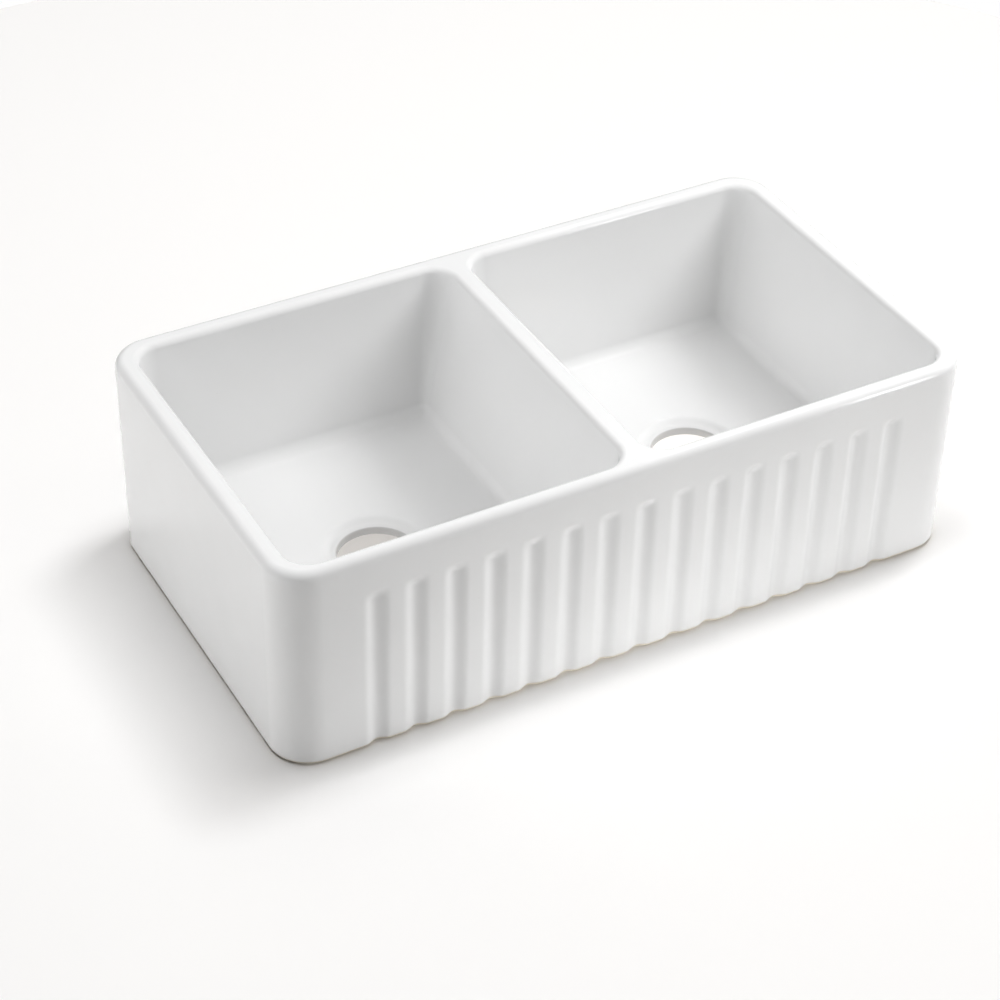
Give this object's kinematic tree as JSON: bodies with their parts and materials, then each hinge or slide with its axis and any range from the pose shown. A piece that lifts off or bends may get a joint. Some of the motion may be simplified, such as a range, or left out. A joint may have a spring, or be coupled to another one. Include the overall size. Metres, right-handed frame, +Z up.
{
  "type": "farmhouse apron front sink",
  "caption": "Divided apron-front ceramic kitchen sink with a fluted front, a rounded rim, a full-height divider and an open drain hole in each bowl.",
  "frame": {"origin": "middle of the base, on the surface that the sink stands on", "axes": "+X to the right along the apron, the apron faces -Y, +Z up to the rim"},
  "size_m": [0.838, 0.457, 0.254],
  "materials": {
    "fireclay": "matte bare fired clay",
    "glaze": "high gloss white glaze"
  },
  "bodies": {
    "root": {"fireclay_body": "fireclay", "glaze_coat": "glaze"}
  },
  "joints": []
}
